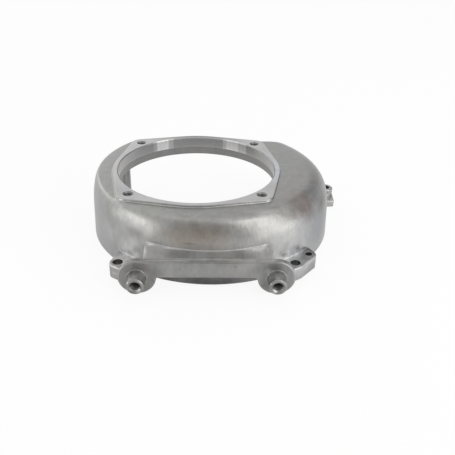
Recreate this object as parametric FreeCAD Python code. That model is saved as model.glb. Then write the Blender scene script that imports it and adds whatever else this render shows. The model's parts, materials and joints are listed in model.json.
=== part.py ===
import FreeCAD, Part
import math
import os

# Flywheel cover: one aluminium die casting that closes the fan side of a small engine.
# Frame: origin on the bore axis in the machined starter face, +Z out of that face,
# -Y towards the side with the two screw spouts. Millimetres.

V = FreeCAD.Vector
UP = V(0, 0, 1)
FRONT = V(0, -1, 0)

# Overall shell
height = 44.5              # starter face down to the base rim
wall_t = 3.0               # wall of the casting
wall_r = 83.5              # outside radius of the wall at the base rim
wall_x, wall_y = 10.2, 5.1 # centre of the wall, off the bore axis as in a volute
wall_draft = 1.9           # degrees that the wall leans in towards the top
outlet_y = 51.5            # the rear is open beyond this plane

# Crown: flat top ring that rolls over into the wall
crown_drop = 1.6           # crown top lies this far under the starter face
crown_r = 71.3             # edge of the flat ring
crown_x, crown_y = 5.0, 1.7
shoulder_drop = 23.4       # the roll ends in the wall this far under the starter face
shoulder_fullness = 0.79   # weight of the conic: 0.71 is an ellipse, more is squarer
outside_steps = 8          # rings that the roll is drawn through, outside
inside_steps = 5           # and inside

# Starter face, bore and collar
bore_d = 108.2
bore_seat = 7.7            # depth of the machined bore
collar_depth = 13.5        # whole depth of the collar
collar_wall = 3.8
collar_flare = 0.7         # cast part of the bore opens by this on radius
bore_chamfer = 0.6

# Four starter screws
screw_pcd = 120.0
screw_count = 4
screw_first = 45.0         # degrees
screw_core_d = 5.0
screw_mouth_d = 6.9
screw_corner_r = 7.6       # corner of the starter face round each screw
screw_boss_r = 6.5
screw_boss_depth = 12.0
face_edge = 0.4            # broken edge of the starter face
face_foot = 1.0            # sloped foot of the starter face
face_side = 0.9            # upright part of its side

# Front lugs
lug_h = 9.2                # top of every lug above the base rim
lug_x = 55.8               # front lug holes left and right of the middle
lug_y = -67.2
lug_hole_d = 6.5
lug_r = 5.4                # round end of a lug
lug_edge = 0.5             # broken edge of the lug tops
lug_ahead_x, lug_ahead_y = 11.6, 7.8   # a lug runs on this far towards the bridge
lug_root_y = 7.0           # and this far back where it meets the wall
lug_tail_x, lug_tail_y = 3.6, 10.6     # the left lug runs back to the wall by this
middle_x = 7.8             # middle of the two front lugs and of the two spouts
dowel_x, dowel_y = 9.6, 10.6   # from the right lug hole to the dowel hole
dowel_d = 4.6
dowel_r = 5.0
dowel_run_x, dowel_run_y = 4.0, 7.0     # from the dowel hole back to the wall

# Rear right lug: a low foot with a round pillar
pillar_x, pillar_y = 99.8, 41.2
pillar_r = 5.6
foot_h = 4.8
foot_front_y = 26.0
foot_right_x = 104.8
foot_corner_r = 2.0

# Front bridge with its two round ends and spouts
bridge_t = 3.8
bridge_top = 18.8          # above the base rim
bridge_edge = 0.6          # broken edge of its front
spout_gap = 85.2           # between the two spout axes
spout_h = 7.5              # axis above the base rim
disc_r = 11.7
disc_fillet = 2.0          # inner corner between a disc and the bridge
spout_len = 10.0           # from the front face of the bridge
spout_foot_r = 5.7
spout_foot_flare = 1.1
spout_nose_r = 5.4
spout_nose_chamfer = 0.7
spout_core_d = 5.2
spout_mouth_d = 7.6
spout_wall = 2.5           # metal left behind the blind end of a spout hole

# Sloping web between the bridge and the wall
web_half = 38.4
web_top = 24.2             # above the base rim
web_corner = 3.0           # round upper corners of its two ends
web_proud = 0.5            # its upper edge stands out of the wall by this

# Rear ends of the wall
post_len = 3.0
post_in = 2.0

bite = 1.0                 # overlap that only makes joined bodies meet
fine = 1e-4                # closer than this counts as the same place
seam = 90.0                # degrees; where a circle begins


def rim(z):
    """Height above the base rim turned into z."""
    return z - height


def deg(a):
    return math.radians(a)


def wall_radius(z, inset=0.0):
    """Outside radius of the drafted wall at height z."""
    return wall_r - inset - math.tan(deg(wall_draft)) * (z + height)


def circle(x, y, r, z):
    """Circle round an upright axis, its seam at the back where the outlet is."""
    wire = Part.Wire(Part.Circle(V(x, y, z), UP, r).toShape())
    wire.rotate(V(x, y, z), UP, seam)
    return wire


def box(x0, x1, y0, y1, z0, z1):
    return Part.makeBox(x1 - x0, y1 - y0, z1 - z0, V(x0, y0, z0))


def post(x, y, r, z0, z1):
    return Part.makeCylinder(r, z1 - z0, V(x, y, z0))


def fuse(shapes):
    return shapes[0].fuse(shapes[1:]).removeSplitter()


def extrude(wire, rise):
    return Part.Face(wire).extrude(rise)


def taut_outline(discs, z):
    """Closed line drawn tight round discs (x, y, r), each of which it touches."""
    mid_x = sum(d[0] for d in discs) / len(discs)
    mid_y = sum(d[1] for d in discs) / len(discs)
    discs = sorted(discs, key=lambda d: math.atan2(d[1] - mid_y, d[0] - mid_x))
    runs = []
    for (x0, y0, r0), (x1, y1, r1) in zip(discs, discs[1:] + discs[:1]):
        gap = math.hypot(x1 - x0, y1 - y0)
        lean = math.atan2(y1 - y0, x1 - x0) - math.acos((r0 - r1) / gap)
        out = V(math.cos(lean), math.sin(lean), 0)
        runs.append((V(x0, y0, z) + out * r0, V(x1, y1, z) + out * r1, lean))
    edges = []
    for (x, y, r), run, before in zip(discs, runs, runs[-1:] + runs[:-1]):
        middle = before[2] + ((run[2] - before[2]) % (2 * math.pi)) / 2
        peak = V(x + r * math.cos(middle), y + r * math.sin(middle), z)
        edges.append(Part.Arc(before[1], peak, run[0]).toShape())
        edges.append(Part.LineSegment(run[0], run[1]).toShape())
    return Part.Wire(edges)


def edges_at_z(shape, z):
    return [e for e in shape.Edges if e.BoundBox.ZLength < fine
            and abs(e.Vertexes[0].Z - z) < fine]


def roll_rings(inset):
    """Circles (x, y, r, z) at the wall's end, the sharp corner and the crown's edge."""
    z_wall, z_top = -shoulder_drop, -crown_drop - inset
    return [(wall_x, wall_y, wall_radius(z_wall, inset), z_wall),
            (wall_x, wall_y, wall_radius(z_top, inset), z_top),
            (crown_x, crown_y, crown_r, z_top)]


def dome(inset, foot, steps):
    """Filled dome: the drafted wall, then rings that climb a conic to the flat crown.

    Each ring blends the three circles by the conic's shares, so that its centre
    wanders from the wall's to the crown's while it shrinks and rises."""
    sections = [circle(wall_x, wall_y, wall_radius(foot, inset), foot)]
    for i in range(steps + 1):
        v = i / steps
        shares = [(1 - v) ** 2, 2 * v * (1 - v) * shoulder_fullness, v ** 2]
        ring = [sum(w * q for w, q in zip(shares, column)) / sum(shares)
                for column in zip(*roll_rings(inset))]
        sections.append(circle(*ring))
    return Part.makeLoft(sections, True, True)


def inside_space():
    """Room for the flywheel, one wall in from the outside, which no lug may enter."""
    return dome(wall_t, rim(-bite), inside_steps)


def behind_outlet():
    reach = 2 * wall_r
    return box(wall_x - reach, wall_x + reach, outlet_y, outlet_y + reach, -2 * height, height)


def shell():
    """Open dome: no floor, and no wall behind the outlet plane."""
    outer = dome(0.0, rim(0), outside_steps)
    ends = [rear_post(side, outer) for side in (-1, 1)]
    return outer.cut(inside_space()).fuse(ends).cut(behind_outlet())


def rear_post(side, outer):
    """Thicker end of the wall at the outlet, kept inside the outside of the shell."""
    reach = math.sqrt((wall_r - wall_t) ** 2 - (outlet_y - wall_y) ** 2)
    x_in = wall_x + side * (reach - post_in)
    x_out = wall_x + side * 2 * wall_r
    body = box(min(x_in, x_out), max(x_in, x_out), outlet_y - post_len, outlet_y,
               rim(0), -crown_drop - wall_t / 2)
    return body.common(outer)


def screw_places():
    r = screw_pcd / 2
    angles = [deg(screw_first + 360.0 * i / screw_count) for i in range(screw_count)]
    return [(r * math.cos(a), r * math.sin(a)) for a in angles]


def face_outline(grow, z):
    """Starter face: taut lines from the ring round the bore to a corner at each screw."""
    ring = bore_d / 2 + collar_wall + grow
    lobes = [lobe(x, y, screw_corner_r + grow, ring, z) for x, y in screw_places()]
    face = Part.Face(circle(0, 0, ring, z)).fuse(lobes).removeSplitter()
    return face.Faces[0].OuterWire


def lobe(x, y, r, ring, z):
    """Face bounded by the screw corner and its two tangents to the ring."""
    gap = math.hypot(x, y)
    aim = math.atan2(y, x)
    half = math.acos((ring - r) / gap)
    middle, corner = V(0, 0, z), V(x, y, z)
    right, left = [V(math.cos(aim + turn), math.sin(aim + turn), 0) for turn in (-half, half)]
    tip = corner + V(math.cos(aim), math.sin(aim), 0) * r
    edges = [Part.Arc(corner + right * r, tip, corner + left * r).toShape()]
    path = [corner + left * r, left * ring + middle, middle, right * ring + middle,
            corner + right * r]
    edges += [Part.LineSegment(a, b).toShape() for a, b in zip(path, path[1:])]
    return Part.Face(Part.Wire(edges))


def starter_face():
    """Raised pad with an upright side and a sloped foot, its collar and screw bosses."""
    upper = extrude(face_outline(0.0, -face_side), UP * face_side)
    upper = upper.makeChamfer(face_edge, edges_at_z(upper, 0.0))
    foot_z = -crown_drop - wall_t / 2
    foot = Part.makeLoft([face_outline(0.0, -face_side), face_outline(face_foot, foot_z)],
                         True, True)
    collar = post(0, 0, bore_d / 2 + collar_wall, -collar_depth, -face_side)
    bosses = [post(x, y, screw_boss_r, -screw_boss_depth, -face_side)
              for x, y in screw_places()]
    return [upper, foot, collar] + bosses


def screw_hole(x, y):
    """Core hole down from the starter face through its boss, with a chamfered mouth."""
    depth = screw_boss_depth + bite
    flare = (screw_mouth_d - screw_core_d) / 2
    core = Part.makeCylinder(screw_core_d / 2, depth, V(x, y, -depth))
    mouth = Part.makeCone(screw_core_d / 2, screw_mouth_d / 2 + bite, flare + bite, V(x, y, -flare))
    return core.fuse(mouth)


def bore_tool():
    """Machined seat, cast flare under it, and the chamfer at the face."""
    r = bore_d / 2
    bottom = -collar_depth - bite
    profile = [V(0, 0, bottom), V(r + collar_flare, 0, bottom),
               V(r + collar_flare, 0, -collar_depth), V(r, 0, -bore_seat),
               V(r, 0, -bore_chamfer), V(r + bore_chamfer + bite, 0, bite), V(0, 0, bite)]
    face = Part.Face(Part.makePolygon(profile + profile[:1]))
    return face.revolve(V(0, 0, 0), UP, 360)


def front_lug(side):
    """Flat lug round its hole, run inwards to the wall and forwards to the bridge."""
    x = middle_x + side * lug_x
    x_in = middle_x + side * web_half
    y_ahead = lug_y - lug_ahead_y
    discs = [(x, lug_y, lug_r), (x - side * lug_ahead_x, y_ahead, lug_r),
             (x_in, y_ahead, lug_r), (x_in, lug_y + lug_root_y, lug_r)]
    if side > 0:
        dowel = (x + dowel_x, lug_y + dowel_y, dowel_r)
        discs += [dowel, (dowel[0] - dowel_run_x, dowel[1] + dowel_run_y, dowel_r)]
    else:
        discs += [(x + lug_tail_x, lug_y + lug_tail_y, lug_r)]
    body = extrude(taut_outline(discs, rim(0)), UP * lug_h)
    body = body.makeChamfer(lug_edge, edges_at_z(body, rim(lug_h)))
    keep = box(-2 * wall_r, 2 * wall_r, bridge_back(), 0, rim(-bite), 0)
    return body.common(keep)


def bridge_back():
    """Rear plane of the bridge: it touches the foot of the wall."""
    return wall_y - wall_r


def bridge_front():
    return bridge_back() - bridge_t


def spout_places():
    return [middle_x - spout_gap / 2, middle_x + spout_gap / 2]


def bridge():
    """Upright plate with a round end under each spout."""
    y = bridge_back()
    left, right = spout_places()
    z = rim(spout_h)
    bar = box(left, right, y - bridge_t, y, z, rim(bridge_top))
    discs = [Part.makeCylinder(disc_r, bridge_t, V(x, y, z), FRONT) for x in (left, right)]
    body = fuse([bar] + discs)
    corners = [e for e in body.Edges if e.BoundBox.XLength < fine and e.BoundBox.ZLength < fine
               and abs(e.Vertexes[0].Z - z) < fine]
    body = body.makeFillet(disc_fillet, corners)
    front = [e for e in body.Edges if abs(e.BoundBox.YMin - bridge_front()) < fine
             and e.BoundBox.YLength < fine]
    return body.makeChamfer(bridge_edge, front)


def spout(x):
    """Turned spout: a foot that flares in two steps, a slight taper, a chamfered nose."""
    front = bridge_front()
    nose = front - spout_len
    flare = spout_foot_flare
    step = flare * (1 - math.sqrt(0.5))
    chamfer = spout_nose_chamfer
    profile = [(front + bite, 0), (front + bite, spout_foot_r + flare),
               (front, spout_foot_r + flare), (front - step, spout_foot_r + step),
               (front - flare, spout_foot_r), (nose + chamfer, spout_nose_r),
               (nose, spout_nose_r - chamfer), (nose, 0)]
    points = [V(0, y, r) for y, r in profile]
    body = Part.Face(Part.makePolygon(points + points[:1])).revolve(V(0, 0, 0), V(0, 1, 0), 360)
    body.translate(V(x, 0, rim(spout_h)))
    return body


def spout_hole(x):
    z = rim(spout_h)
    nose = bridge_front() - spout_len
    depth = spout_len + bridge_t - spout_wall
    flare = (spout_mouth_d - spout_core_d) / 2
    core = Part.makeCylinder(spout_core_d / 2, depth, V(x, nose, z), V(0, 1, 0))
    mouth = Part.makeCone(spout_mouth_d / 2 + bite, spout_core_d / 2, flare + bite,
                          V(x, nose - bite, z), V(0, 1, 0))
    return core.fuse(mouth)


def wall_line(x, r):
    """Y of the front of a circle round the wall's centre."""
    return wall_y - math.sqrt(r * r - (x - wall_x) ** 2)


def web_layer(front, inner_y, z):
    """Plan of the web at one height: its front edge closed by a straight back."""
    a, b = front.Vertexes[0].Point, front.Vertexes[-1].Point
    path = [b, V(b.x, inner_y, z), V(a.x, inner_y, z), a]
    return Part.Wire([front] + [Part.LineSegment(p, q).toShape() for p, q in zip(path, path[1:])])


def web_window(x0, x1, z1):
    """Front view of the web with its round upper corners, as a thick plate."""
    r = web_corner
    low = rim(spout_h) + r
    discs = [(x, z, r) for x in (x0 + r, x1 - r) for z in (low, z1 - r)]
    plate = extrude(taut_outline(discs, 0), UP * wall_r)
    plate.rotate(V(0, 0, 0), V(1, 0, 0), 90)
    return plate


def web():
    """Ruled slope from an arc on the wall down to the top of the bridge."""
    z1 = rim(web_top)
    z0 = rim(bridge_top)
    r = wall_radius(z1) + web_proud
    x0, x1 = middle_x - web_half, middle_x + web_half
    inner_y = wall_line(x0, wall_radius(z1, wall_t + bite))
    arc = Part.Arc(*[V(x, wall_line(x, r), z1) for x in (x0, wall_x, x1)]).toShape()
    edge = Part.LineSegment(V(x0, bridge_back(), z0), V(x1, bridge_back(), z0)).toShape()
    slope = Part.makeLoft([web_layer(edge, inner_y, z0), web_layer(arc, inner_y, z1)], True, True)
    block = box(x0, x1, bridge_back() - bite, inner_y, rim(spout_h), z0)
    return slope.common(web_window(x0, x1, z1)).fuse(block)


def rear_lug():
    """Low foot with the screw pillar standing on it."""
    inner_x = wall_x + math.sqrt(wall_r ** 2 - (pillar_y - wall_y) ** 2) - wall_t
    r = foot_corner_r
    foot = extrude(taut_outline([(foot_right_x - r, foot_front_y + r, r),
                                 (pillar_x, pillar_y, pillar_r),
                                 (inner_x, pillar_y, pillar_r),
                                 (inner_x, foot_front_y + r, r)], rim(0)), UP * foot_h)
    foot = foot.makeChamfer(lug_edge, edges_at_z(foot, rim(foot_h)))
    pillar = extrude(taut_outline([(inner_x, pillar_y, pillar_r), (pillar_x, pillar_y, pillar_r)],
                                  rim(0)), UP * lug_h)
    pillar = pillar.makeChamfer(lug_edge, edges_at_z(pillar, rim(lug_h)))
    return foot.fuse(pillar)


def through_holes():
    """Holes that run down through the lugs."""
    right = middle_x + lug_x
    places = [(middle_x - lug_x, lug_y, lug_hole_d), (right, lug_y, lug_hole_d),
              (right + dowel_x, lug_y + dowel_y, dowel_d), (pillar_x, pillar_y, lug_hole_d)]
    return [post(x, y, d / 2, rim(-bite), rim(lug_h + bite)) for x, y, d in places]


def casting():
    """Every outside feature is trimmed to the room inside, then all holes are cut."""
    outside = [front_lug(-1), front_lug(1), rear_lug(), web()]
    outside = [s.cut(inside_space()).cut(behind_outlet()) for s in outside]
    spouts = [spout(x) for x in spout_places()]
    body = shell().fuse(outside + starter_face() + [bridge()] + spouts)
    holes = [bore_tool()] + through_holes() + [spout_hole(x) for x in spout_places()]
    holes += [screw_hole(x, y) for x, y in screw_places()]
    return body.cut(holes).removeSplitter()


def main():
    os.makedirs("parts", exist_ok=True)
    part = casting().Solids[0]
    part.exportStep("parts/cover_casting.step")
    print("valid", part.isValid(), "faces", len(part.Faces))
    print("volume cm3", round(part.Volume / 1000, 1), part.BoundBox)


main()
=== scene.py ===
# %% [markdown]
# # A flywheel cover in bare cast aluminium
#
# The real part closes the fan side of a small engine. It is one die casting: an off-centre
# dome, open below and behind, with a milled face round its bore and a bridge with two screw
# spouts in front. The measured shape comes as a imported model, so this lesson gives it a
# smooth skin, threads, and the finishes of a casting that has been milled and bored.

# %% Load the measured model
import bpy
import bmesh
import json
import math
import numpy as np
from mathutils import Matrix


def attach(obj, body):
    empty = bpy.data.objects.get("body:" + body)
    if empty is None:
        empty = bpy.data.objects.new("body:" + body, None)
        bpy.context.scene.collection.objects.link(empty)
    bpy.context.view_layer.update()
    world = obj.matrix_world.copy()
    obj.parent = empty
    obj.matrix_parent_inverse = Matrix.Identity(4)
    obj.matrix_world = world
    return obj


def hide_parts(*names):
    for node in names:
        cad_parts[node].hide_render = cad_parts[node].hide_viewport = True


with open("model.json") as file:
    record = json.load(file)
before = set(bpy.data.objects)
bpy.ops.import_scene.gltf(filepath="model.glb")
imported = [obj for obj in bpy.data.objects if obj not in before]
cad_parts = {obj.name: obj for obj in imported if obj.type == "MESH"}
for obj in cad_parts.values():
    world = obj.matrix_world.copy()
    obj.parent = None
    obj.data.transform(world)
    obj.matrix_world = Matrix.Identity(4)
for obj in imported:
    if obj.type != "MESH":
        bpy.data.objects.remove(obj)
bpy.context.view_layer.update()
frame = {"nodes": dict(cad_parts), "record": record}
casting = frame["nodes"]["cover_casting"]
mounts = {m["name"]: m for m in frame["record"]["mounts"]}

# %% [markdown]
# ## Sizes
#
# The scene works in metres and a maker thinks in millimetres, so one factor turns the one
# into the other. Bores and screw places are read from the record, because it is what the CAD
# promises. The few sizes of the dome that it doesn't hold are written once here.

# %% Sizes of the casting, in mm
MM = 0.001
bore_r = mounts["starter_bore"]["dims"]["r_mm"]
bore_seat, bore_chamfer, bore_flare, collar_depth = 7.7, 0.6, 0.7, 13.5
pcd_r = mounts["starter_screws"]["dims"]["pcd_mm"] / 2
screw_places = [(pcd_r * math.cos(a), pcd_r * math.sin(a))
                for a in np.radians([45, 135, 225, 315])]
spouts = mounts["spout_screws"]
spout_x, spout_z = spouts["pos_m"][0] / MM, spouts["pos_m"][2] / MM
spout_places = [spout_x - spouts["dims"]["spacing_x_mm"] / 2,
                spout_x + spouts["dims"]["spacing_x_mm"] / 2]

height, wall_t, wall_r, draft = 44.5, 3.0, 83.5, math.radians(1.9)
wall_x, wall_y = 10.2, 5.1
crown_x, crown_y, crown_r, crown_drop = 5.0, 1.7, 71.3, 1.6
shoulder_drop, fullness = 23.4, 0.79
print("bore radius", bore_r, "screws at", np.round(screw_places, 1).tolist())

# %% [markdown]
# ## The camera
#
# A render can be laid over a photograph only if the camera stands where the photographer
# stood. Three turns place it: heading, pitch and a slight roll. The lens is given for the
# usual 36 mm sensor, and depth of field stays off so that every edge is sharp.

# %% Camera
frame_px, focal_px, sensor_mm = 455, 605.92, 36.0
camera_place = (0.009807, -0.385814, 0.173657)
heading, pitch, roll = np.radians([-1.857, 90 - 29.952, 1.304])
camera_data = bpy.data.cameras.new("camera")
camera_data.sensor_width = sensor_mm
camera_data.lens = focal_px / frame_px * sensor_mm
camera_data.clip_start, camera_data.clip_end = 0.01, 20.0
camera = bpy.data.objects.new("camera", camera_data)
bpy.context.scene.collection.objects.link(camera)
camera.matrix_world = (Matrix.Translation(camera_place) @ Matrix.Rotation(heading, 4, "Z")
                       @ Matrix.Rotation(pitch, 4, "X") @ Matrix.Rotation(roll, 4, "Z"))
bpy.context.scene.camera = camera
bpy.context.scene.view_settings.view_transform = "Standard"
print("lens mm", round(camera_data.lens, 2))

# %% [markdown]
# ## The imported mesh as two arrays
#
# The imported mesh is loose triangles, each with corners of its own. A smooth skin needs
# neighbours that share their corners, so a copy is welded. It then lives in two numpy
# arrays, points and triangles, which can be changed as a whole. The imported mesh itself
# stays as it is.

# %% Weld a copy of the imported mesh
weld_gap = 0.002


def welded(node):
    """Points (mm) and triangles of a CAD node, with doubled corners made one."""
    bm = bmesh.new()
    bm.from_mesh(node.data)
    bmesh.ops.remove_doubles(bm, verts=bm.verts, dist=weld_gap * MM)
    mesh = bpy.data.meshes.new("welded")
    bm.to_mesh(mesh)
    bm.free()
    points = np.empty(len(mesh.vertices) * 3)
    mesh.vertices.foreach_get("co", points)
    mesh.calc_loop_triangles()
    tris = np.empty(len(mesh.loop_triangles) * 3, int)
    mesh.loop_triangles.foreach_get("vertices", tris)
    bpy.data.meshes.remove(mesh)
    return points.reshape(-1, 3) / MM, tris.reshape(-1, 3)


points, tris = welded(casting)
print("welded", len(points), "points", len(tris), "triangles")

# %% [markdown]
# ## Cutting long triangles
#
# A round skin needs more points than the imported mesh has, but only where it is round. A
# Subdivision Surface modifier would round the milled edges too. Here each long side is cut
# at its middle instead. Each triangle has none, one, two or three cut sides, and each case
# has its own fixed pattern, so no crack opens between neighbours.

# %% Helper that cuts the sides of triangles
def cut_sides(points, tris, wanted):
    """Cuts every side for which wanted(ends) holds at its middle.

    A triangle with one cut side becomes two, with two becomes three, with three four."""
    sides = np.stack([tris, np.roll(tris, -1, axis=1)], axis=2).reshape(-1, 2)
    edges, which = np.unique(np.sort(sides, axis=1), axis=0, return_inverse=True)
    cut = wanted(edges)
    new = np.full(len(edges), -1)
    new[cut] = len(points) + np.arange(cut.sum())
    mid = new[which].reshape(-1, 3)
    count = (mid >= 0).sum(axis=1)
    turn = np.where(count == 1, (mid >= 0).argmax(axis=1), (mid < 0).argmax(axis=1) + 1)
    order = (np.arange(3) + np.where((count == 1) | (count == 2), turn, 0)[:, None]) % 3
    a, b, c = np.take_along_axis(tris, order, axis=1).T
    p, q, r = np.take_along_axis(mid, order, axis=1).T
    patterns = {0: [(a, b, c)], 1: [(a, p, c), (p, b, c)],
                2: [(p, b, q), (a, p, q), (a, q, c)],
                3: [(a, p, r), (p, b, q), (r, q, c), (p, q, r)]}
    parts = [np.stack(corners, axis=1)[count == n]
             for n, group in patterns.items() for corners in group]
    return np.vstack([points, points[edges[cut]].mean(axis=1)]), np.vstack(parts)


one_cut = cut_sides(np.eye(3), np.array([[0, 1, 2]]), lambda edges: np.ones(len(edges), bool))
print("one triangle with all sides cut becomes", len(one_cut[1]))

# %% [markdown]
# ## The roll of the dome
#
# On the real cover the flat crown rolls over into the wall, and because the two circles
# have different centres the roll is tight on one side and generous on the other. The CAD
# draws it in straight rings to stay light. The exact surface is a family of circles whose
# centre, radius and height follow a conic, so it is written down as a table of rings. The
# bore is written in the same way, from its profile.

# %% Rings of the dome
def dome_rings(inset, count):
    """Circles (x, y, r, z) up the drafted wall and over the conic to the crown."""
    def wall_radius(z):
        return wall_r - inset - math.tan(draft) * (z + height)
    top = -crown_drop - inset
    corners = np.array([[wall_x, wall_y, wall_radius(-shoulder_drop), -shoulder_drop],
                        [wall_x, wall_y, wall_radius(top), top],
                        [crown_x, crown_y, crown_r, top]])
    v = np.linspace(0, 1, count)[:, None]
    shares = np.hstack([(1 - v) ** 2, 2 * v * (1 - v) * fullness, v ** 2])
    roll_part = shares @ corners / shares.sum(axis=1, keepdims=True)
    z = np.linspace(-height, -shoulder_drop, count)[:-1]
    wall_part = np.stack([np.full_like(z, wall_x), np.full_like(z, wall_y),
                          wall_radius(z), z], axis=1)
    return np.vstack([wall_part, roll_part])


outside, inside = dome_rings(0.0, 260), dome_rings(wall_t, 260)
print("dome", len(outside), "rings outside and", len(inside), "inside")

# %% [markdown]
# The bore is cut round its axis: a straight seat with a small chamfer over it. Below the
# seat the casting stays rough and opens a little. Each of the three is a short profile of
# radius and height that is turned round the bore axis.

# %% Rings turned round the bore axis
def turned_rings(profile, count=60):
    """Circles (x, y, r, z) round the bore axis along a profile of (r, z) corners."""
    profile = np.array(profile, float)
    run = np.linspace(0, len(profile) - 1, count * (len(profile) - 1) + 1)
    r, z = [np.interp(run, np.arange(len(profile)), column) for column in profile.T]
    return np.stack([np.zeros_like(r), np.zeros_like(r), r, z], axis=1)


seat = turned_rings([(bore_r, -bore_seat), (bore_r, -bore_chamfer)])
flare = turned_rings([(bore_r + bore_flare, -collar_depth), (bore_r, -bore_seat)])
chamfer = turned_rings([(bore_r, -bore_chamfer), (bore_r + bore_chamfer, 0.0)])
print("bore", len(seat), "rings in the seat,", len(flare), "in the flare")

# %% [markdown]
# ## Laying the skin on the rings
#
# A new point has to find its place on the exact surface. A Shrinkwrap modifier needs a
# second mesh for that and is only as round as that mesh. A family of rings is exact: the
# point goes straight out or in to the rim that passes closest to it, and numpy does this
# for all points at once.

# %% Nearest point on a family of rings
def nearest_on(points, rings):
    """Nearest point of a family of circles: the ring whose rim passes closest."""
    flat = points[:, None, :2] - rings[None, :, :2]
    across = np.linalg.norm(flat, axis=2)
    miss = np.hypot(across - rings[None, :, 2], points[:, None, 2] - rings[None, :, 3])
    best = miss.argmin(axis=1)
    row = np.arange(len(points))
    ring = rings[best]
    outward = flat[row, best] / across[row, best][:, None]
    spot = np.column_stack([ring[:, :2] + outward * ring[:, 2:3], ring[:, 3]])
    return spot, miss[row, best]


outside_reach, inside_reach, bore_reach = 0.16, 0.30, 0.12
print((nearest_on(points, outside)[1] < outside_reach).sum(), "points of the packed mesh lie",
      "on the outside of the dome")

# %% [markdown]
# A point belongs to a surface when it lies within a small reach of it. In two passes, the
# sides between such points are cut where they are long, and the new points go to the
# nearest ring. The old points lie on the surface already.

# %% Lay the skin on the exact surfaces
longest = 2.4
skins = [(outside, outside_reach), (inside, inside_reach), (seat, bore_reach),
         (flare, bore_reach), (chamfer, bore_reach)]
for _ in range(2):
    for rings, reach in skins:
        on = nearest_on(points, rings)[1] < reach

        def wanted(edges):
            length = np.linalg.norm(points[edges[:, 0]] - points[edges[:, 1]], axis=1)
            return on[edges].all(axis=1) & (length > longest)
        before = len(points)
        points, tris = cut_sides(points, tris, wanted)
        spot, miss = nearest_on(points[before:], rings)
        close = miss < reach
        points[before:][close] = spot[close]
    print("after a pass", len(points), "points", len(tris), "triangles")

# %% [markdown]
# ## Tapped holes
#
# The CAD keeps the holes plain at core size. The real ones are tapped, and a tap cuts
# outwards into the metal, so the plain wall is taken away and a wall with a helical groove
# is put in its place. At both ends the groove fades out, so the new wall meets the old rim.

# %% Helpers for tapped holes
def round_axis(spots, foot, axis):
    """Height of each point along an axis, and its distance from it."""
    away = spots - foot
    along = away @ axis
    return along, np.linalg.norm(away - along[:, None] * axis, axis=1)


def thread_wall(foot, axis, length, core, depth, pitch=1.0, around=40, rows_per_mm=8):
    """Wall of a tapped hole as a grid of turn u and height h.

    Radius = core + depth x fade x flat-topped triangle wave of (h / pitch - u)."""
    u, h = np.meshgrid(np.arange(around) / around,
                       np.linspace(0, length, int(length * rows_per_mm) + 1))
    wave = 1 - np.abs(2 * ((h / pitch - u) % 1) - 1)
    fade = np.clip(np.minimum(h, length - h) / pitch, 0, 1)
    r = core + depth * fade * np.clip(1.3 * wave - 0.1, 0, 1)
    side = np.array([1.0, 0.0, 0.0])
    other = np.cross(axis, side)
    grid = (foot + h[..., None] * axis + (r * np.cos(2 * np.pi * u))[..., None] * side
            + (r * np.sin(2 * np.pi * u))[..., None] * other)
    index = np.arange(u.size).reshape(u.shape)
    beside = np.roll(index, -1, axis=1)
    a, b, c, d = [part.ravel() for part in (index[:-1], index[1:], beside[1:], beside[:-1])]
    return grid.reshape(-1, 3), np.vstack([np.stack([a, b, c], 1), np.stack([a, c, d], 1)])


up, front = np.array([0.0, 0.0, 1.0]), np.array([0.0, -1.0, 0.0])
print("a thread 12 mm long has", len(thread_wall(0 * up, up, 12.0, 2.5, 0.5)[1]), "triangles")

# %% [markdown]
# Four threads run through the milled face and two into the noses of the spouts. Each is
# given by the bottom of its hole, its axis, its length and its core radius, because that is
# how a drawing gives it.

# %% Cut the threads
thread_depth, wall_slack, end_slack = 0.5, 0.08, 0.1
screw_core = mounts["starter_screws"]["dims"]["hole_r_mm"]
spout_core = spouts["dims"]["hole_r_mm"]
screw_foot, screw_length = -13.0, 12.05
spout_foot, spout_length = -80.9, 10.1
tapped = [(np.array([x, y, screw_foot]), up, screw_length, screw_core)
          for x, y in screw_places]
tapped += [(np.array([x, spout_foot, spout_z]), front, spout_length, spout_core)
           for x in spout_places]
for foot, axis, length, core in tapped:
    along, radius = round_axis(points, foot, axis)
    on_wall = ((np.abs(radius - core) < wall_slack)
               & (along > -end_slack) & (along < length + end_slack))
    tris = tris[~on_wall[tris].all(axis=1)]
    grid, faces = thread_wall(foot, axis, length, core, thread_depth)
    tris = np.vstack([tris, faces + len(points)])
    points = np.vstack([points, grid])
print("with threads", len(points), "points", len(tris), "triangles")

# %% [markdown]
# ## The finished piece
#
# A finished piece stays at the origin, unturned and unscaled, and has its place in its mesh,
# as the imported parts do. It is shaded smooth, but an angle of more than 28 degrees between
# two faces stays a crease, because a milled edge is sharp. The piece takes the place of the
# packed casting and rides with the body.

# %% Make the cover
crease = math.radians(28)


def make_piece(name, points, tris):
    """A mesh object whose place is in its mesh, smooth where it isn't creased."""
    mesh = bpy.data.meshes.new(name)
    mesh.from_pydata(points * MM, [], tris)
    mesh.shade_smooth()
    mesh.set_sharp_from_angle(angle=crease)
    piece = bpy.data.objects.new(name, mesh)
    bpy.context.scene.collection.objects.link(piece)
    print(name, len(tris), "triangles")
    return piece


cover = make_piece("cover", points, tris)
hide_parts("cover_casting")
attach(cover, "root")

# %% [markdown]
# ## Short words for nodes
#
# Materials, the world and shared groups are all trees of nodes. A few helpers keep the
# recipes readable: one adds a node with its values, one links two sockets, one works out a
# sum, and one makes a soft step between two values.

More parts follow.
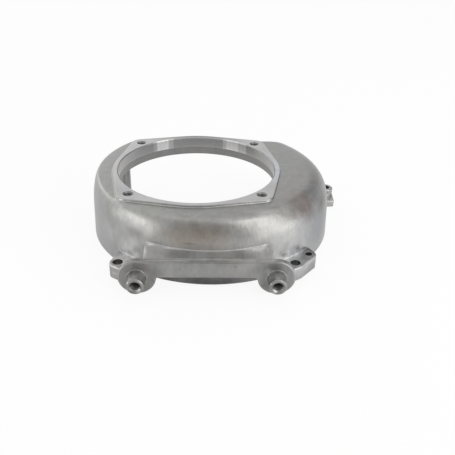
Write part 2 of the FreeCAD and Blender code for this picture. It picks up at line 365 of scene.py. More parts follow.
# %% Helpers for node trees
def node_tree(block):
    """Empties a tree and gives two helpers, one that adds a node and one that links."""
    tree = block
    if not isinstance(block, bpy.types.NodeTree):
        block.use_nodes = True
        tree = block.node_tree
    tree.nodes.clear()

    def add(kind, **values):
        node = tree.nodes.new(kind)
        for key, value in values.items():
            if key in node.inputs:
                node.inputs[key].default_value = value
            else:
                setattr(node, key, value)
        return node
    return add, tree.links.new


def calculator(add, link):
    """A helper that works out one Math node from sockets or plain numbers."""
    def work(operation, *terms):
        node = add("ShaderNodeMath", operation=operation)
        for socket, term in zip(node.inputs, terms):
            if isinstance(term, (int, float)):
                socket.default_value = term
            else:
                link(term, socket)
        return node.outputs[0]
    return work


def soft_step(add, link, value, low, high):
    """0 below low and 1 above high with a smooth rise between; also works downwards."""
    ramp = add("ShaderNodeMapRange", interpolation_type="SMOOTHSTEP")
    ramp.inputs["From Min"].default_value = low
    ramp.inputs["From Max"].default_value = high
    link(value, ramp.inputs["Value"])
    return ramp.outputs[0]


print(len(bpy.data.materials), "materials before the first recipe")

# %% [markdown]
# ## The floor
#
# The two round ends of the bridge hang a little lower than the rim, so the real cover leans
# back when it stands on a table. Here the cover stays straight and the floor leans instead,
# so that it touches both round ends and the rear rim.

# %% Floor
disc_low, rim_low, disc_ahead = -48.7, -height, 3.2
disc_y, rim_y = mounts["base_rim"]["pos_m"][1] / MM - disc_ahead, 51.5
tilt = math.atan2(rim_low - disc_low, rim_y - disc_y)
far = 3000.0
corners = np.array([[-far, -far], [far, -far], [far, far], [-far, far]])
floor_z = disc_low + (corners[:, 1] - disc_y) * math.tan(tilt)
floor = make_piece("floor", np.column_stack([corners, floor_z]), np.array([[0, 1, 2], [0, 2, 3]]))
print("floor tilt in degrees", round(math.degrees(tilt), 2))

# %% [markdown]
# The floor is white paper. The camera sees nearly plain white, so only a soft shadow shows.
# Bare metal mirrors the paper, and two pools of painted light on it, which only mirroring rays
# see, give the lower wall its light sides.

# %% White paper
seen_white, mirrored_white, paper = 0.9, 0.5, (0.95, 0.95, 0.95, 1)
painted_pools = ((0.135, -0.090, 0.12, 1.05),     # x, y and reach in metres, strength
         (-0.115, -0.110, 0.08, 0.25))
painted_pool_z = -0.047
white_paper = bpy.data.materials.new("white_paper")
add, link = node_tree(white_paper)
work = calculator(add, link)
seen = add("ShaderNodeLightPath")
share = work("ADD", work("MULTIPLY", seen.outputs["Is Camera Ray"], seen_white),
             work("MULTIPLY", seen.outputs["Is Glossy Ray"], mirrored_white))
mix = add("ShaderNodeMixShader")
link(share, mix.inputs[0])
link(add("ShaderNodeBsdfDiffuse", Color=paper).outputs[0], mix.inputs[1])
glow = add("ShaderNodeEmission", Color=(1, 1, 1, 1))
ground = add("ShaderNodeTexCoord").outputs["Object"]
# Painted pools of light: extra glow on the paper for glossy rays only.
painted_pool = 0.0
for x, y, reach, strength in painted_pools:
    gap = add("ShaderNodeVectorMath", operation="DISTANCE")
    link(ground, gap.inputs[0])
    gap.inputs[1].default_value = (x, y, painted_pool_z)
    near = soft_step(add, link, gap.outputs["Value"], reach, 0.0)
    painted_pool = work("ADD", work("MULTIPLY", near, strength), painted_pool)
link(work("ADD", 1.0, work("MULTIPLY", seen.outputs["Is Glossy Ray"], painted_pool)),
     glow.inputs["Strength"])
link(glow.outputs[0], mix.inputs[2])
link(mix.outputs[0], add("ShaderNodeOutputMaterial").inputs["Surface"])
floor.data.materials.append(white_paper)
print("white paper with", len(painted_pools), "pools of light")

# %% [markdown]
# ## The room
#
# Bare metal shows mostly what it reflects, so the room matters more than the lamps. It is
# white, but darker behind the camera, at the far right and high behind the part, as a real
# studio is. Those dark zones draw the dark bands on the dome. The camera itself sees plain
# white behind the part.

# %% World
def compass(azimuth, elevation):
    """Unit direction: azimuth from +Y towards +X, elevation upwards, in degrees."""
    a, e = math.radians(azimuth), math.radians(elevation)
    return (math.sin(a) * math.cos(e), math.cos(a) * math.cos(e), math.sin(e))


ambient, backdrop = 0.8, 0.985
dark_zones = ((176, 8, 12, 62, 0.50),     # azimuth, elevation, inner and outer angle, depth
              (64, 14, 10, 54, 0.48), (20, 38, 5, 36, 0.22))
world = bpy.data.worlds.new("studio")
bpy.context.scene.world = world
add, link = node_tree(world)
work = calculator(add, link)
direction = add("ShaderNodeTexCoord").outputs["Generated"]
reflected = 1.0
for azimuth, elevation, inner, outer, depth in dark_zones:
    dot = add("ShaderNodeVectorMath", operation="DOT_PRODUCT")
    link(direction, dot.inputs[0])
    dot.inputs[1].default_value = compass(azimuth, elevation)
    zone = soft_step(add, link, dot.outputs["Value"], math.cos(math.radians(outer)),
                     math.cos(math.radians(inner)))
    reflected = work("SUBTRACT", reflected, work("MULTIPLY", zone, depth))
seen = add("ShaderNodeLightPath")
glossy = work("MULTIPLY", seen.outputs["Is Glossy Ray"], work("SUBTRACT", reflected, ambient))
unseen = work("ADD", ambient, glossy)
camera_part = work("MULTIPLY", seen.outputs["Is Camera Ray"], work("SUBTRACT", backdrop, unseen))
sky = add("ShaderNodeBackground", Color=(1, 1, 1, 1))
link(work("ADD", unseen, camera_part), sky.inputs["Strength"])
link(sky.outputs[0], add("ShaderNodeOutputWorld").inputs["Surface"])
print("room with", len(dark_zones), "dark zones")

# %% [markdown]
# ## The lamps
#
# Two small soft boxes stand low in front, left and right, and light the wall. A large one,
# higher and farther on the right, makes the broad highlight on the shoulder, and a wide
# faint one fills the left side from behind. All are hidden from the camera.

# %% Lamps
def soft_box(name, azimuth, elevation, distance, width, tall, radiance, colour):
    """Area lamp aimed at the cover. Power is radiance times area times pi."""
    data = bpy.data.lights.new(name, "AREA")
    data.shape = "RECTANGLE"
    data.size, data.size_y = width, tall
    data.energy = radiance * width * tall * math.pi
    data.color = colour
    lamp = bpy.data.objects.new(name, data)
    lamp.visible_camera = False
    bpy.context.scene.collection.objects.link(lamp)
    turn = (Matrix.Rotation(-math.radians(azimuth), 4, "Z")
            @ Matrix.Rotation(math.pi / 2 + math.radians(elevation), 4, "X"))
    lamp.matrix_world = (turn @ Matrix.Translation((0, 0, -distance))
                         @ Matrix.Rotation(math.pi, 4, "Y"))
    print(name, round(data.energy, 2), "W")


warm_white, cool_white = (1, 1, 0.97), (0.98, 0.99, 1)
soft_box("box_left", -119, -5, 0.30, 0.14, 0.05, 2.8, warm_white)
soft_box("box_right", 128, 26, 0.9, 0.52, 0.85, 1.7, warm_white)
soft_box("box_low_right", 116, -5, 0.30, 0.12, 0.05, 2.1, warm_white)
soft_box("box_far_left", -62, 4, 1.0, 0.9, 0.35, 0.9, cool_white)

# %% [markdown]
# ## Effects that the finishes share
#
# Die-cast aluminium is a dull grey metal, faintly mottled and streaked along the draft. The
# milled face and the bored seat are the same metal with the skin cut away, brighter and
# finer. What they share is made once as a group of nodes with named sockets, and each
# material sets its own values on it.

# %% Helpers for node groups
def node_group(name, inputs, outputs):
    """An empty group with named sockets, and its two end nodes."""
    group = bpy.data.node_groups.new(name, "ShaderNodeTree")
    for label, value in inputs.items():
        kind = "NodeSocketVector" if isinstance(value, tuple) else "NodeSocketFloat"
        socket = group.interface.new_socket(name=label, in_out="INPUT", socket_type=kind)
        socket.default_value = value
    for label, kind in outputs.items():
        group.interface.new_socket(name=label, in_out="OUTPUT", socket_type=kind)
    add, link = node_tree(group)
    print("group", name, "takes", list(inputs), "and gives", list(outputs))
    return group, add, link, add("NodeGroupInput").outputs, add("NodeGroupOutput").inputs


def placed(add, group, **values):
    """A group set into a material, with its own values (underscores stand for spaces)."""
    node = add("ShaderNodeGroup")
    node.node_tree = group
    for label, value in values.items():
        node.inputs[label.replace("_", " ")].default_value = value
    return node


# %% [markdown]
# Clouds are the mottling that the melt leaves as it cools on the mould. The same noise in
# a small size is the grain of the skin. Squash shrinks the coordinates, so a small value
# for Z draws the noise out along Z, into the streaks that the casting gets when it slides
# out of the mould.

# %% Group: clouds and grain
clouds, add, link, into, out = node_group(
    "clouds", {"Size mm": 10.0, "Squash": (1.0, 1.0, 1.0), "Detail": 3.0, "Roughness": 0.55},
    {"Value": "NodeSocketFloat"})
work = calculator(add, link)
place = add("ShaderNodeVectorMath", operation="MULTIPLY")
link(add("ShaderNodeTexCoord").outputs["Object"], place.inputs[0])
link(into["Squash"], place.inputs[1])
noise = add("ShaderNodeTexNoise")
link(place.outputs[0], noise.inputs["Vector"])
link(work("DIVIDE", 1 / MM, into["Size mm"]), noise.inputs["Scale"])
link(into["Detail"], noise.inputs["Detail"])
link(into["Roughness"], noise.inputs["Roughness"])
link(noise.outputs["Fac"], out["Value"])

# %% [markdown]
# On outer edges the dull skin is rubbed off, and every edge of a casting is slightly round.
# A Bevel node gives both: its normal rounds the edge, and where that normal leaves the true
# one there is an edge that can shine. The mask finds inner edges too, so the bright edge
# colour is partly wear and partly a painted highlight along every edge.

# %% Group: worn edges with a painted highlight
wear_and_highlight_starts, wear_and_highlight_full = 0.995, 0.90
worn_and_highlit_edges, add, link, into, out = node_group(
    "worn_and_highlit_edges", {"Width mm": 0.6}, {"Normal": "NodeSocketVector", "Wear and highlight": "NodeSocketFloat"})
work = calculator(add, link)
bevel = add("ShaderNodeBevel", samples=6)
link(work("MULTIPLY", into["Width mm"], MM), bevel.inputs["Radius"])
dot = add("ShaderNodeVectorMath", operation="DOT_PRODUCT")
link(bevel.outputs[0], dot.inputs[0])
link(add("ShaderNodeNewGeometry").outputs["Normal"], dot.inputs[1])
link(bevel.outputs[0], out["Normal"])
link(soft_step(add, link, dot.outputs["Value"], wear_and_highlight_starts, wear_and_highlight_full), out["Wear and highlight"])

# %% [markdown]
# Stains, painted light and painted shade are soft spots without a sharp rim. Each is an
# ellipsoid at a place on the part, and a cloud makes its rim ragged.

# %% Group: a soft spot with a ragged rim
ragged_mm, noise_middle = 9.0, 0.5
soft_spot, add, link, into, out = node_group(
    "soft_spot", {"Centre": (0.0, 0.0, 0.0), "Reach": (0.01, 0.01, 0.01), "Ragged": 0.3},
    {"Mask": "NodeSocketFloat"})
work = calculator(add, link)
offset = add("ShaderNodeVectorMath", operation="SUBTRACT")
link(add("ShaderNodeTexCoord").outputs["Object"], offset.inputs[0])
link(into["Centre"], offset.inputs[1])
share = add("ShaderNodeVectorMath", operation="DIVIDE")
link(offset.outputs[0], share.inputs[0])
link(into["Reach"], share.inputs[1])
length = add("ShaderNodeVectorMath", operation="LENGTH")
link(share.outputs[0], length.inputs[0])
cloud = placed(add, clouds, Size_mm=ragged_mm).outputs[0]
rim = work("ADD", length.outputs["Value"],
           work("MULTIPLY", work("SUBTRACT", cloud, noise_middle), into["Ragged"]))
link(soft_step(add, link, rim, 1.0, 0.0), out["Mask"])

# %% [markdown]
# In the photograph the bored seat has upright bands of another shine, and here they are
# painted reflections in its colour. Each covers a part of the turn. A sector is such a part,
# between two angles round the bore axis.

# %% Group: a sector round the bore axis
half_soft = 0.6
sector, add, link, into, out = node_group(
    "sector", {"From": 0.0, "To": 10.0}, {"Mask": "NodeSocketFloat"})
work = calculator(add, link)
parts = add("ShaderNodeSeparateXYZ")
link(add("ShaderNodeTexCoord").outputs["Object"], parts.inputs[0])
angle = work("DEGREES", work("ARCTAN2", parts.outputs["Y"], parts.outputs["X"]))
within = work("MINIMUM", work("SUBTRACT", angle, into["From"]),
              work("SUBTRACT", into["To"], angle))
link(soft_step(add, link, within, -half_soft, half_soft), out["Mask"])

# %% [markdown]
# ## The metal that every finish starts from
#
# One recipe serves all five finishes, because they are one metal. It is built up in layers,
# as a painter would glaze: each layer is a mix of two colours by a mask. Noise is nearly
# always close to its middle value, so it is stretched before it serves as a mask.

# %% Helpers for colours and masks
def blend(add, link, factor, before, after, kind="MIX"):
    """Mixes two colours by a mask; each may be a socket or a plain value."""
    node = add("ShaderNodeMix", data_type="RGBA", blend_type=kind)
    if isinstance(factor, float):
        node.inputs[0].default_value = factor
    else:
        link(factor, node.inputs[0])
    for socket, colour in ((node.inputs[6], before), (node.inputs[7], after)):
        if isinstance(colour, tuple):
            socket.default_value = (*colour, 1)
        else:
            link(colour, socket)
    return node.outputs[2]


noise_low, noise_high = 0.3, 0.7


def spread(add, link, value, low, high):
    """Stretches the middle of a noise, where nearly all its values lie, to low..high."""
    ramp = add("ShaderNodeMapRange")
    ramp.inputs["From Min"].default_value = noise_low
    ramp.inputs["From Max"].default_value = noise_high
    ramp.inputs["To Min"].default_value, ramp.inputs["To Max"].default_value = low, high
    link(value, ramp.inputs["Value"])
    return ramp.outputs[0]


def grey(value):
    """A tint as three numbers; a grey one may be given as a single number."""
    return value if isinstance(value, tuple) else (value,) * 3


print("the grey of 0.2 is", grey(0.2))

# %% [markdown]
# The lowest layers are the metal itself. Clouds mix a darker and a lighter grey, grain,
# streaks and pits darken it, and a wide cloud warms it here and there.

# %% The grey of the metal
grain_grey, streak_grey, pit_grey = grey(0.2), grey(0.22), grey(0.16)
grain_share, streak_share, pit_share = 0.22, 0.09, 0.3
pit_from, pit_to = 0.64, 0.74
pit_mm, warm_mm, warm_tint = 2.4, 24.0, (1.02, 1.0, 0.965)


def metal_grey(add, link, work, dark, light, cloud, grain, streak):
    """Cloud mixes dark and light, then grain, streaks and pits darken and a cloud warms."""
    pits = placed(add, clouds, Size_mm=pit_mm, Detail=2.0).outputs[0]
    warm = placed(add, clouds, Size_mm=warm_mm, Detail=1.0).outputs[0]
    colour = blend(add, link, spread(add, link, cloud, 0.0, 1.0), dark, light)
    colour = blend(add, link, spread(add, link, grain, 0.0, grain_share), colour, grain_grey)
    colour = blend(add, link, spread(add, link, streak, 0.0, streak_share), colour, streak_grey)
    pitted = work("MULTIPLY", soft_step(add, link, pits, pit_from, pit_to), pit_share)
    colour = blend(add, link, pitted, colour, pit_grey)
    warmer = blend(add, link, 1.0, colour, warm_tint, "MULTIPLY")
    return blend(add, link, spread(add, link, warm, 0.0, 1.0), colour, warmer)


print("pits lie where a cloud of", pit_mm, "mm is above", pit_from)

# %% [markdown]
# Marks lie over the grey, stains and painted light and shade alike, and each multiplies it by
# a tint. Where several bright ones meet they could promise more light than metal gives back,
# so the colour is capped at what polished aluminium reflects. Worn edges, with the painted
# highlight they also carry, come last, because they are bright whatever lies beneath, except
# along the edges that are kept dull.

# %% Marks, painted light and shade, and worn edges with a painted highlight
wear_and_highlight_share, edge_metal_and_highlight, brightest = 0.85, (0.70, 0.70, 0.69), grey(0.9)


def soft_spot_mask(add, centre, reach):
    """Mask of one soft spot, used for stains and for painted light and shade alike, from its
    centre and reach in mm.
    """
    return placed(add, soft_spot, Centre=tuple(q * MM for q in centre),
                  Reach=tuple(q * MM for q in reach)).outputs[0]


def marked(add, link, colour, stains, bands):
    """Colour times the tint of each spot and band where its mask is, capped."""
    for centre, reach, tint in stains:
        mask = soft_spot_mask(add, centre, reach)
        colour = blend(add, link, mask, colour, grey(tint), "MULTIPLY")
    for first, last, tint in bands:
        mask = placed(add, sector, From=first, To=last).outputs[0]
        colour = blend(add, link, mask, colour, grey(tint), "MULTIPLY")
    cap = add("ShaderNodeVectorMath", operation="MINIMUM")
    link(colour, cap.inputs[0])
    cap.inputs[1].default_value = brightest
    return cap.outputs[0]


def worn_and_highlit(add, link, work, colour, wear_and_highlight, kept_dull):
    """Mixes in bare edge metal, wear and painted highlight, by edge mask x share x (1 - strongest
    mask of the edges kept dull).
    """
    kept = 0.0
    for centre, reach in kept_dull:
        kept = work("MAXIMUM", soft_spot_mask(add, centre, reach), kept)
    wear_and_highlight = work("MULTIPLY", wear_and_highlight, wear_and_highlight_share)
    wear_and_highlight = work("MULTIPLY", wear_and_highlight, work("SUBTRACT", 1.0, kept))
    return blend(add, link, wear_and_highlight, colour, edge_metal_and_highlight)


print("worn edges show", wear_and_highlight_share, "of the bare metal", edge_metal_and_highlight)

# %% [markdown]
# The roughness follows the clouds and the streaks, and the same grain that darkens the skin
# also raises it, through a Bump node over the rounded edges. All of it feeds one Principled
# shader, which is plain metal.

# %% The metal
rough_swing, rough_streak, streak_height = 0.05, 0.02, 0.4
streak_mm, streak_squash = 1.1, (1.0, 1.0, 0.12)


def metal(name, dark, light, rough, edge_width_mm, cloud_mm, squash, grain_mm, grain_depth,
          stains=(), kept_dull=(), bands=()):
    """Bare aluminium: its grey, its stains and painted light and shade, worn and highlit edges,
    roughness and a grainy relief.
    """
    material = bpy.data.materials.new(name)
    add, link = node_tree(material)
    work = calculator(add, link)
    cloud = placed(add, clouds, Size_mm=cloud_mm, Squash=squash).outputs[0]
    grain = placed(add, clouds, Size_mm=grain_mm, Squash=squash, Detail=4.0).outputs[0]
    streak = placed(add, clouds, Size_mm=streak_mm, Squash=streak_squash,
                    Detail=2.0).outputs[0]
    edges = placed(add, worn_and_highlit_edges, Width_mm=edge_width_mm)
    colour = metal_grey(add, link, work, dark, light, cloud, grain, streak)
    colour = marked(add, link, colour, stains, bands)
    colour = worn_and_highlit(add, link, work, colour, edges.outputs["Wear and highlight"], kept_dull)
    roughness = work("ADD", spread(add, link, cloud, rough - rough_swing, rough + rough_swing),
                     spread(add, link, streak, -rough_streak, rough_streak))
    bump = add("ShaderNodeBump", Strength=1.0, Distance=grain_depth * MM)
    link(work("MULTIPLY_ADD", streak, streak_height, grain), bump.inputs["Height"])
    link(edges.outputs["Normal"], bump.inputs["Normal"])
    shader = add("ShaderNodeBsdfPrincipled", Metallic=1.0)
    link(colour, shader.inputs["Base Color"])
    link(roughness, shader.inputs["Roughness"])
    link(bump.outputs[0], shader.inputs["Normal"])
    link(shader.outputs[0], add("ShaderNodeOutputMaterial").inputs["Surface"])
    print("finish", name, "with", len(stains), "stains and", len(bands), "bands")
    return material


# %% [markdown]
# ## Marks on the cast skin
#
# A used casting is never one grey. Some marks are stains and scratches: a brown bloom over
# the web, a faint pink on the right, a warm crown, a pitted spot, a scratch. What made them
# is a guess. Most others are painted light and shade that the photograph shows and this plain
# room doesn't give: painted highlights on the shoulder, rims, tops and feet, and painted shade
# under the bridge, on the web and on the round ends, so under other light they are the first
# to take out. Each mark is a centre in mm, a reach in mm and a tint: below 1 darkens and
# above 1 lightens. They were weighed against the photograph and are listed by region, so that
# one is easily found and changed.

# %% [markdown]
# The dome is the part that is seen and touched most. A brown bloom lies in front over the
# web and the crown is a little warm. The shoulder has painted highlights on both sides and
# painted shade at its far right and left of the web, and the foot of the pad a painted
# highlight.

# %% Marks on the dome
dome_marks = [
    ((1, -76, -11), (39, 14, 15), (0.86, 0.775, 0.685)),    # brown bloom in front
    ((2, -76, -18), (16, 7, 3.5), (0.88, 0.87, 0.87)),      # darker band over the web
    ((68, -43, -6), (18, 20, 13), (0.95, 0.84, 0.82)),      # faint pink on the right
    ((-30, -40, -2), (60, 50, 6), (0.99, 1.0, 0.95)),       # warm crown
    ((-37, -62.5, -17), (10, 10, 6), 0.72),                 # painted shade left of the web
    ((-28, -67, -12), (8, 8, 6), (1.1, 1.1, 1.09)),         # bright spot over the web
    ((41, -70.3, -14), (7, 6, 4.5), (1.28, 1.28, 1.26)),    # over the web's right end
    ((-48, -51.5, -9.5), (10, 9, 6), (1.3, 1.3, 1.25)),     # painted highlight on the shoulder, left
    ((57, -54, -3.2), (11, 8, 3.2), (1.3, 1.29, 1.27)),     # painted highlight on the shoulder, right
    ((41.4, -62, -2.2), (11, 5, 2), (1.28, 1.27, 1.25)),
    ((47.5, -59.5, -2.6), (9, 5, 2), (1.35, 1.34, 1.32)),
    ((73, -45, -13.5), (10, 10, 6), (0.78, 0.78, 0.80)),    # painted shade on the shoulder, far right
    ((84, -26, -12.5), (9, 20, 8), 0.6),
    ((36, -70, -7), (5, 5, 5), (0.85, 0.85, 0.84)),         # pitted spot
    ((-2.7, -76, -16.3), (8, 4, 0.8), (0.72, 0.70, 0.68)),  # scratch over the web
    ((-22, -54.6, -1.2), (36, 8, 0.45), 1.7),               # painted highlight at the foot of the pad, left
    ((30, -53.2, -1.2), (30, 8, 0.45), 1.6)]                # painted highlight at the foot of the pad, right
print(len(dome_marks), "marks on the dome")

# %% [markdown]
# The wall is cooler than the crown, and painted light makes it pale on both sides of the web
# and over the right lug. Under the bridge it is darkened by painted shade, and at the root of
# the right lug a painted highlight draws a fine bright line.

# %% Marks on the wall
wall_marks = [
    ((-66, -30, -34), (50, 60, 26), (1.06, 1.07, 1.11)),    # cool wall on the left, also lighter by painted light
    ((86, -30, -30), (50, 60, 26), (0.965, 0.985, 1.045)),  # cool wall on the right
    ((-40, -62, -33), (26, 14, 17), 1.6),                   # painted light left of the web
    ((57, -64, -33), (24, 14, 16), 1.65),                   # painted light right of the web
    ((56.9, -63.3, -25.8), (6, 5, 6), 0.74),
    ((60, -60, -19.5), (6, 6, 5), 1.14),
    ((-56, -46, -27), (12, 12, 12), 1.1),                   # painted light on the left, below the shoulder
    ((84, -36, -28), (20, 30, 24), (0.72, 0.72, 0.73)),     # painted shade on the right
    ((-40.8, -60.5, -33.2), (5, 4, 3.5), 0.62),             # painted shade over the left lug
    ((66.5, -55.8, -31.8), (8, 7, 4), 1.5),                 # painted light over the right lug
    ((57, -63.5, -31.7), (6, 5, 4), 1.3),
    ((67.6, -55.2, -32.6), (4.5, 4, 2.6), 1.6),
    ((58.5, -62.6, -34.6), (2.6, 2.4, 0.9), 1.25),          # painted highlight at the root of the right lug
    ((62, -60.0, -34.6), (2.6, 2.4, 0.9), 1.4),
    ((65.5, -57.2, -34.6), (2.6, 2.4, 0.9), 1.7),
    ((69, -53.9, -34.6), (2.6, 2.4, 0.9), 1.7),
    ((102, 27, -40), (18, 24, 10), 1.3),                    # foot of the pillar
    ((10, -77, -43), (54, 12, 12), (0.26, 0.26, 0.27)),     # painted shade under the bridge
    ((-20, -74, -42), (15, 8, 6), 0.34)]
print(len(wall_marks), "marks on the wall")

# %% [markdown]
# The web carries painted shade, with a painted highlight along its rim. The top of the bridge
# has by far the strongest tint, a painted highlight: in the photograph it is the brightest
# place in front, and this room lights it too little. The round ends are dark there, and here
# their tint, a painted shade, does most of it.

# %% Marks on the web and the bridge
bridge_marks = [
    ((8, -78, -24), (56, 8, 10), (0.62, 0.62, 0.61)),       # painted shade on the web and the skin above it
    ((8, -78.4, -24.6), (34, 3, 2.4), 1.25),                # painted light at the foot of the web
    ((41, -75, -22.5), (14, 6, 6), 0.83),                   # right end of the web
    ((-22, -73.5, -23), (12, 6, 4), (0.85, 0.85, 0.84)),    # left end of the web
    ((-30.2, -74, -23.5), (2.4, 7, 4), 1.6),
    ((-27.5, -70, -20.5), (6, 3, 0.9), 1.9),                # painted highlight on the rim of the web
    ((-14, -74.6, -20.6), (13, 3, 0.8), 1.6),
    ((31, -75, -20.2), (13, 3, 0.8), 1.1),
    ((43.5, -70.8, -20.2), (5, 2.2, 1), 1.5),
    ((7.8, -80, -25.6), (66, 2.1, 1.5), 4.6),               # painted highlight on the top of the bridge
    ((7.8, -82, -25.9), (52, 1.2, 1.0), 0.75),              # painted shade on its upper edge
    ((7.8, -82, -32), (60, 3, 9), 0.88),                    # painted shade on its face
    ((-34.8, -81, -36), (24, 5, 24), (0.47, 0.47, 0.46)),   # painted shade on the left round end
    ((50.4, -81, -36), (24, 5, 24), (0.46, 0.46, 0.45)),    # painted shade on the right round end
    ((58.5, -80.7, -29.5), (9, 1.4, 9), 2.2)]               # painted highlight on the rim of the right round end
print(len(bridge_marks), "marks on the web and the bridge")

# %% [markdown]
# The spouts have a painted highlight on top and painted shade at their noses, with painted
# highlights at the feet and in the mouths. The lugs have painted highlights on top, and the
# right one has painted shade at its side and edge.

# %% Marks on the spouts and the lugs
spout_marks = [
    ((-32, -88, -31), (9, 6, 8), 1.35),                     # painted highlight on top of the left spout
    ((48, -88, -31), (9, 6, 8), 1.5),                       # painted highlight on top of the right spout
    ((44.5, -87, -33), (4, 5, 4), 1.4),
    ((46, -82.4, -32), (5, 2.5, 3.5), 1.5),
    ((-34.8, -93.2, -37), (20, 4, 20), 0.66),               # painted shade on the end of the left nose
    ((50.4, -93.2, -37), (20, 4, 20), 0.57),                # painted shade on the end of the right nose
    ((-28.6, -84.6, -36), (3.5, 3.5, 8), 1.6),              # painted highlight at the foot of the left spout
    ((-41, -84.6, -36), (3.5, 3.5, 8), 1.5),
    ((56.6, -84.6, -36), (3.5, 3.5, 8), 1.5),               # painted highlight at the foot of the right spout
    ((44.2, -84.6, -36), (3.5, 3.5, 8), 1.6),
    ((-32.9, -91.8, -39.7), (2.2, 2.5, 2.2), (1.8, 1.8, 1.75)),  # painted highlights and shade in the mouths
    ((-37.0, -91.8, -39.7), (2.4, 2.5, 2.4), 0.45),
    ((48.9, -91.8, -39.9), (2.2, 2.5, 2.2), 1.6)]
lug_marks = [
    ((-47, -65, -35.3), (14, 12, 3), (1.6, 1.6, 1.58)),     # painted highlight on top of the left lug
    ((-49, -72.8, -35.7), (5, 3, 1.2), 1.5),                # its ledge
    ((-49.5, -72.7, -40.2), (5, 3, 1.6), 1.35),
    ((66, -66, -35.5), (18, 15, 3), 1.35),                  # painted highlight on top of the right lug
    ((60.5, -66, -35.3), (9, 7, 1.5), 0.68),
    ((72.5, -56.5, -35.5), (9, 8, 1.6), 1.5),               # round its dowel hole
    ((75, -62, -42), (16, 14, 8), (0.68, 0.68, 0.69)),      # painted shade on its side
    ((69, -69.2, -36.4), (8, 6, 1.5), 0.65)]                # painted shade on its edge
skin_marks = dome_marks + wall_marks + bridge_marks + spout_marks + lug_marks
print(len(skin_marks), "marks on the cast skin in all")

# %% [markdown]
# Some edges are kept dull, without wear or painted highlight: the foot behind the bridge,
# the bridge's upper edge, and the feet and noses of the spouts. The milled face has painted
# shade at the back and front left and painted light, a little blue, on the right, the spouts'
# holes have painted shade at the bottom, and the seat has its bands of painted reflection,
# each from one angle to another with a tint.

# %% Edges kept dull, milled face, shade in the spouts and bands of the bore
kept_dull = [((-18, -74, -44), (18, 8, 5)), ((7.8, -82, -27), (60, 8, 8))]
kept_dull += [((x, -82.5, -37), (11, 3, 11)) for x in spout_places]
kept_dull += [((x, -93.3, -37), (20, 5, 20)) for x in spout_places]
# Painted shade at the back and front left of the milled face, painted light on its right.
milled_marks = [((2, 60, 0), (58, 20, 5), 0.42), ((-50, -36, 0), (18, 20, 5), 0.86),
                ((56, -4, 0), (16, 36, 5), (1.12, 1.16, 1.20))]
# Painted shade deep in the spouts' holes.
hole_marks = [((x, -87, -37), (9, 7, 9), 0.3) for x in spout_places]
# Bands of painted reflection in the bored seat.
seat_bands = [(114.8, 125.0, 2.1), (110.6, 114.8, 1.4), (125.0, 128.5, 1.25),
              (66.3, 69.6, 1.5), (56.0, 66.3, 2.0), (48.0, 56.0, 1.5)]
print(len(kept_dull), "sheltered edges,", len(seat_bands), "bands in the seat")

# %% [markdown]
# ## Five finishes
#
# The skin as it comes from the mould is dull and grainy. The milled face is the brightest,
# with the finest grain. The bored seat is smoother still but mirrors the dark inside, the
# flare below it was left as cast, and the drilled and tapped holes get little light, so their
# grey is darker, a painted shade.

# %% Finishes
finishes = [
    metal("cast_skin", dark=(0.336, 0.338, 0.337), light=(0.412, 0.413, 0.418), rough=0.35,
          edge_width_mm=0.7, cloud_mm=5.0, squash=(1.0, 1.0, 0.5), grain_mm=1.7, grain_depth=0.12,
          stains=skin_marks, kept_dull=kept_dull),
    metal("milled_face", dark=(0.54, 0.545, 0.56), light=(0.64, 0.645, 0.66), rough=0.32,
          edge_width_mm=0.35, cloud_mm=12.0, squash=(1.0, 1.0, 1.0), grain_mm=0.6,
          grain_depth=0.006, stains=milled_marks),
    metal("bored_seat", dark=(0.38, 0.38, 0.385), light=(0.43, 0.43, 0.435), rough=0.24,
          edge_width_mm=0.35, cloud_mm=9.0, squash=(1.0, 1.0, 0.3), grain_mm=0.5,
          grain_depth=0.002, bands=seat_bands),
    metal("cast_bore", dark=(0.26, 0.26, 0.262), light=(0.34, 0.34, 0.34), rough=0.42,
          edge_width_mm=0.35, cloud_mm=6.0, squash=(1.0, 1.0, 0.2), grain_mm=0.9,
          grain_depth=0.06),
    metal("drilled_hole", dark=grey(0.20), light=grey(0.30), rough=0.45,
          edge_width_mm=0.1, cloud_mm=3.0, squash=(1.0, 1.0, 0.2), grain_mm=0.6,
          grain_depth=0.03, stains=hole_marks)]
for finish in finishes:
    cover.data.materials.append(finish)
print(len(cover.data.materials), "finishes on the cover")

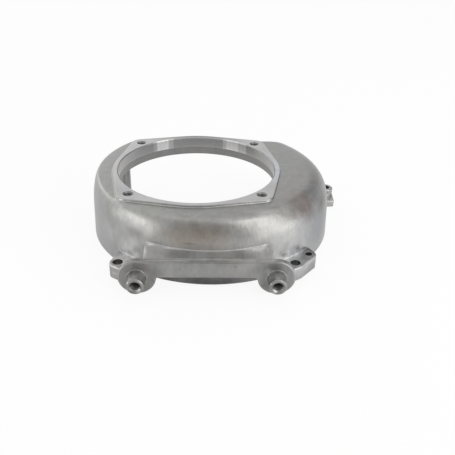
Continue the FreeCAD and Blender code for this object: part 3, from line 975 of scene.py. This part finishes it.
# %% [markdown]
# ## Which triangle gets which finish
#
# A cutter reaches a face, not a painted line, so the finishes are told apart by where a
# triangle lies and which way it faces. The list of holes comes first: the tapped ones with
# the mouths of the screw holes, and the four plain ones from the record. The mouths of the
# spouts keep the cast skin, because they came from the mould.

# %% Drilled holes, as place, axis, radius and reach
screw_mouth, spout_mouth, foot_reach, plain_reach = 1.5, 0.05, 1.5, 6.0
mouths = [screw_mouth] * len(screw_places) + [spout_mouth] * len(spout_places)
holes = [(foot + axis * (length - foot_reach + mouth) / 2, axis, core,
          (length + foot_reach + mouth) / 2)
         for (foot, axis, length, core), mouth in zip(tapped, mouths)]
plain_holes = ("front_left_hole", "front_right_hole", "rear_right_hole", "dowel_hole")
holes += [(np.array(mounts[name]["pos_m"]) / MM, up, mounts[name]["dims"]["r_mm"], plain_reach)
          for name in plain_holes]
print(len(holes), "holes")

# %% [markdown]
# Now each triangle is asked where its middle lies. Face up in the top plane is milled, near
# the bore radius is bored, just outside it below the seat is as cast, and round the axis of
# a hole is drilled. All else keeps the cast skin.

# %% Give each triangle its finish
corner = points[tris]
middle = corner.mean(axis=1)
normal = np.cross(corner[:, 1] - corner[:, 0], corner[:, 2] - corner[:, 0])
normal /= np.linalg.norm(normal, axis=1)[:, None]
across = np.hypot(middle[:, 0], middle[:, 1])
top_slack, bored_slack, flared_slack, collar_slack, hole_slack = 0.01, 0.65, 1.2, 0.2, 1.1
upward, sideways = 0.9, 0.9
depth = -middle[:, 2]
milled = (depth < top_slack) & (normal[:, 2] > upward)
bored = (across < bore_r + bored_slack) & (depth < bore_seat) & ~milled
flared = ((across < bore_r + flared_slack) & (depth < collar_depth + collar_slack)
          & ~milled & ~bored)
drilled = np.zeros(len(tris), dtype=bool)
for place, axis, hole_r, reach in holes:
    along, radius = round_axis(middle, place, axis)
    across_axis = np.abs(normal @ axis) < sideways
    drilled |= (radius < hole_r + hole_slack) & (np.abs(along) < reach) & across_axis
zone = np.select([milled, bored, flared, drilled], [1, 2, 3, 4], 0)
cover.data.polygons.foreach_set("material_index", zone)
print("triangles per finish", np.bincount(zone).tolist())
